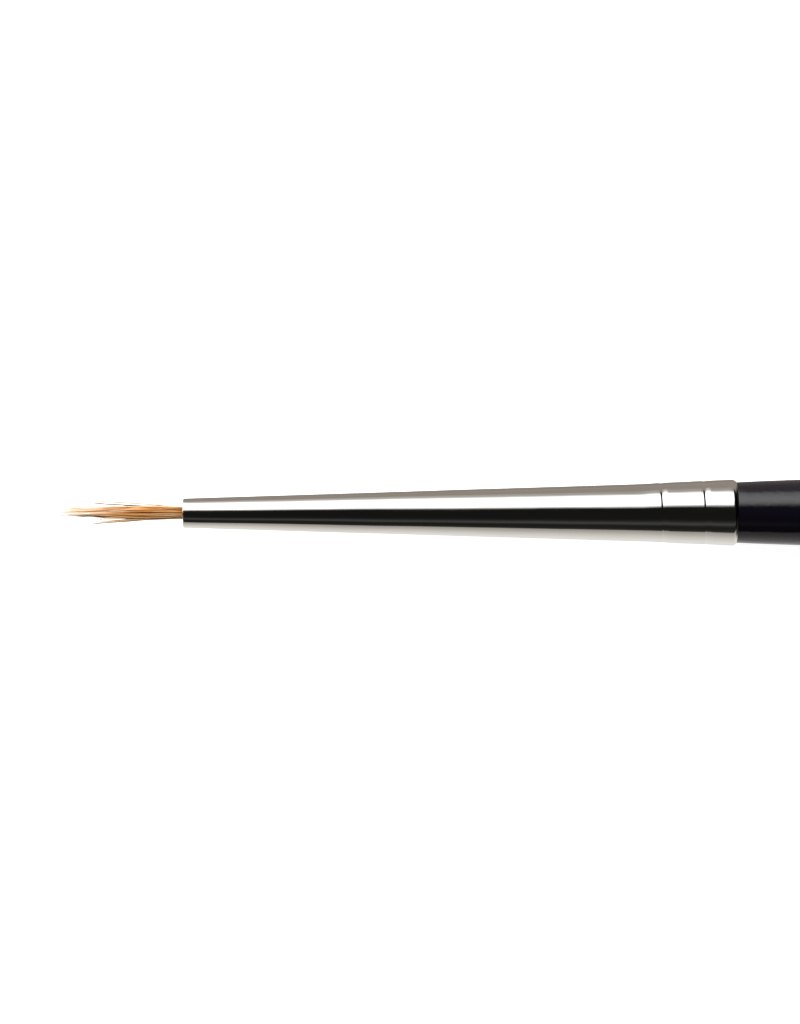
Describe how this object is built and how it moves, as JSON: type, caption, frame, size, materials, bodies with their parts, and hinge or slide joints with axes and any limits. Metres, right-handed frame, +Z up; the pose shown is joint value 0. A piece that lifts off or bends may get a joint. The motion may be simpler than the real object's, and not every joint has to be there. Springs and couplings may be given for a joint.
{
  "type": "fine detail brush",
  "caption": "Small round hair brush for fine painting: a thin hair tuft that flexes, a long conical plated ferrule with crimp rings, and a slim glossy tapered handle.",
  "frame": {"origin": "on the brush's axis, in the middle of the widest part of the handle", "axes": "+X along the brush from the hair towards the handle's tail, +Z up from the surface that it lies on, +Y to the side that the tuft's hinges bend it towards"},
  "size_m": [0.1825, 0.006, 0.006],
  "materials": {
    "nickel_plate": "polished nickel plate on brass, with fine draw lines along it",
    "hardwood": "turned birch, bare where it sits in the ferrule",
    "undercoat": "matt dark primer",
    "blue_black_lacquer": "high gloss blue-black lacquer with a slight orange peel",
    "tenon_glue": "set wood glue, amber",
    "setting_resin": "set amber resin",
    "binding_thread": "waxed linen thread",
    "sable_hair": "red sable hair, reddish brown, darker at the root and pale at the points"
  },
  "bodies": {
    "brush": {"ferrule": "nickel_plate", "handle_core": "hardwood", "handle_undercoat": "undercoat", "handle_lacquer": "blue_black_lacquer", "tenon_glue": "tenon_glue", "resin_plug": "setting_resin", "root_binding": "binding_thread", "hair_root": "sable_hair"},
    "tuft_belly": {"hair_belly": "sable_hair"},
    "tuft_point": {"hair_point": "sable_hair", "upper_lock": "sable_hair", "lower_lock": "sable_hair"}
  },
  "joints": [
    {"name": "tuft_bend", "type": "hinge", "parent": "brush", "child": "tuft_belly", "pos_m": [-0.0779, 0, 0], "axis": [0, 0, 1], "range_deg": [-30, 30], "stiffness_Nm_per_rad": 0.00002},
    {"name": "tip_bend", "type": "hinge", "parent": "tuft_belly", "child": "tuft_point", "pos_m": [-0.0806, 0, 0], "axis": [0, 0, 1], "range_deg": [-36, 36], "stiffness_Nm_per_rad": 0.00001}
  ],
  "couplings": [
    {"joint": "tip_bend", "follows": "tuft_bend", "ratio": 1.2}
  ]
}
